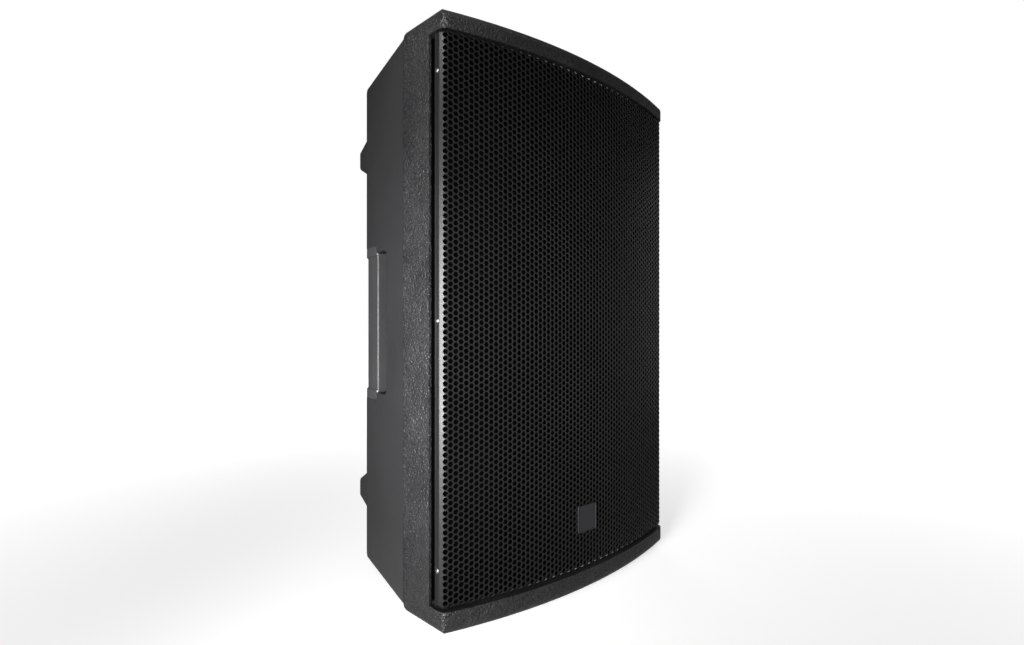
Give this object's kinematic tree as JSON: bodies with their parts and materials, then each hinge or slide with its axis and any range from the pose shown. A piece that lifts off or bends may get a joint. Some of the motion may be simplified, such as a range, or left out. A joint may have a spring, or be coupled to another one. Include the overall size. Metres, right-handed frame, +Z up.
{
  "type": "pa speaker cabinet",
  "caption": "Active two-way PA loudspeaker in a moulded two-part cabinet with a curved perforated steel grille, side handles and rear amplifier.",
  "frame": {"origin": "On the standing surface, in the middle of the width and of the depth of the whole cabinet.", "axes": "+Z is up, +X is the width to the right seen from the front, +Y runs to the back."},
  "size_m": [0.4238, 0.35, 0.704],
  "materials": {
    "front_shell": "coarse moulded grain",
    "rear_shell": "fine moulded grain",
    "shell_gasket": "plain",
    "steel_screws": "zinc plated",
    "grille": "fine powder coat",
    "grille_foam": "open-cell foam",
    "badge_plate": "satin",
    "handle_cup": "fine grain",
    "handle_bar": "fine grain",
    "rubber_feet": "matt",
    "pole_socket": "fine grain",
    "rigging_inserts": "turned",
    "woofer_gasket": "plain",
    "woofer_basket": "cast and painted",
    "woofer_surround": "impregnated cloth",
    "woofer_spider": "impregnated cloth",
    "woofer_cone": "pressed paper pulp",
    "dust_cap": "pressed paper pulp",
    "voice_coil": "enamelled copper winding",
    "motor_steel": "zinc plated",
    "ferrite": "sintered ferrite",
    "woofer_terminals": "phenolic",
    "horn": "smooth",
    "hf_diaphragm": "formed foil",
    "driver_cap": "smooth",
    "port_tubes": "smooth",
    "amp_panel": "black powder coat",
    "heat_sink": "black anodised",
    "amp_gasket": "plain",
    "amp_box": "zinc plated sheet",
    "amp_board": "solder resist",
    "amp_capacitors": "sleeved",
    "power_transformer": "taped copper winding",
    "control_pots": "plain",
    "knobs": "satin",
    "mode_button": "plain",
    "mains_inlet": "plain",
    "fuse_drawer": "plain",
    "power_switch": "plain",
    "power_rocker": "plain",
    "input_jacks": "plain",
    "jack_latches": "plated",
    "status_lamps": "diffused"
  },
  "bodies": {
    "root": {"front_shell": "front_shell", "rear_shell": "rear_shell", "shell_gasket": "shell_gasket", "shell_screws": "steel_screws", "grille": "grille", "grille_foam": "grille_foam", "grille_screws": "steel_screws", "badge_plate": "badge_plate", "handle_cup_left": "handle_cup", "handle_cup_right": "handle_cup", "handle_bar_left": "handle_bar", "handle_bar_right": "handle_bar", "handle_screws": "steel_screws", "rubber_feet": "rubber_feet", "pole_socket": "pole_socket", "pole_socket_screws": "steel_screws", "rigging_inserts": "rigging_inserts", "woofer_gasket": "woofer_gasket", "woofer_basket": "woofer_basket", "woofer_surround": "woofer_surround", "woofer_spider": "woofer_spider", "woofer_top_plate": "motor_steel", "woofer_magnet": "ferrite", "woofer_yoke": "motor_steel", "woofer_terminals": "woofer_terminals", "woofer_screws": "steel_screws", "horn": "horn", "horn_screws": "steel_screws", "driver_plate": "motor_steel", "driver_magnet": "ferrite", "driver_cap": "driver_cap", "port_tubes": "port_tubes", "amp_panel": "amp_panel", "heat_sink": "heat_sink", "amp_gasket": "amp_gasket", "amp_screws": "steel_screws", "amp_box": "amp_box", "amp_board": "amp_board", "amp_capacitors": "amp_capacitors", "power_transformer": "power_transformer", "control_pots": "control_pots", "mains_inlet": "mains_inlet", "power_switch": "power_switch", "input_jacks": "input_jacks", "status_lamps": "status_lamps"},
    "cone": {"woofer_cone": "woofer_cone", "dust_cap": "dust_cap", "voice_coil": "voice_coil"},
    "diaphragm": {"hf_diaphragm": "hf_diaphragm"},
    "gain_1": {"gain_knob_1": "knobs"},
    "gain_2": {"gain_knob_2": "knobs"},
    "bass": {"bass_knob": "knobs"},
    "treble": {"treble_knob": "knobs"},
    "button": {"mode_button": "mode_button"},
    "rocker": {"power_rocker": "power_rocker"},
    "fuse": {"fuse_drawer": "fuse_drawer"},
    "latch_1": {"jack_latch_1": "jack_latches"},
    "latch_2": {"jack_latch_2": "jack_latches"}
  },
  "joints": [
    {"name": "cone_travel", "type": "slide", "parent": "root", "child": "cone", "axis": [0, -1, 0], "range_m": [-0.006, 0.006], "stiffness_N_per_m": 4000, "deforming": ["woofer_surround", "woofer_spider"]},
    {"name": "diaphragm_travel", "type": "slide", "parent": "root", "child": "diaphragm", "axis": [0, -1, 0], "range_m": [-0.0003, 0.0003], "stiffness_N_per_m": 5000},
    {"name": "gain_1_turn", "type": "hinge", "parent": "root", "child": "gain_1", "pos_m": [-0.066, 0.155, 0.294], "axis": [0, -1, 0], "range_deg": [-150, 150]},
    {"name": "gain_2_turn", "type": "hinge", "parent": "root", "child": "gain_2", "pos_m": [-0.022, 0.155, 0.294], "axis": [0, -1, 0], "range_deg": [-150, 150]},
    {"name": "bass_turn", "type": "hinge", "parent": "root", "child": "bass", "pos_m": [0.022, 0.155, 0.294], "axis": [0, -1, 0], "range_deg": [-150, 150]},
    {"name": "treble_turn", "type": "hinge", "parent": "root", "child": "treble", "pos_m": [0.066, 0.155, 0.294], "axis": [0, -1, 0], "range_deg": [-150, 150]},
    {"name": "button_press", "type": "slide", "parent": "root", "child": "button", "axis": [0, -1, 0], "range_m": [0, 0.003], "stiffness_N_per_m": 600},
    {"name": "rocker_tip", "type": "hinge", "parent": "root", "child": "rocker", "pos_m": [0.05, 0.153, 0.164], "axis": [1, 0, 0], "range_deg": [0, 16]},
    {"name": "fuse_drawer_slide", "type": "slide", "parent": "root", "child": "fuse", "axis": [0, 1, 0], "range_m": [0, 0.012]},
    {"name": "latch_1_press", "type": "slide", "parent": "root", "child": "latch_1", "axis": [0, -1, 0], "range_m": [0, 0.0015], "stiffness_N_per_m": 600},
    {"name": "latch_2_press", "type": "slide", "parent": "root", "child": "latch_2", "axis": [0, -1, 0], "range_m": [0, 0.0015], "stiffness_N_per_m": 600}
  ]
}
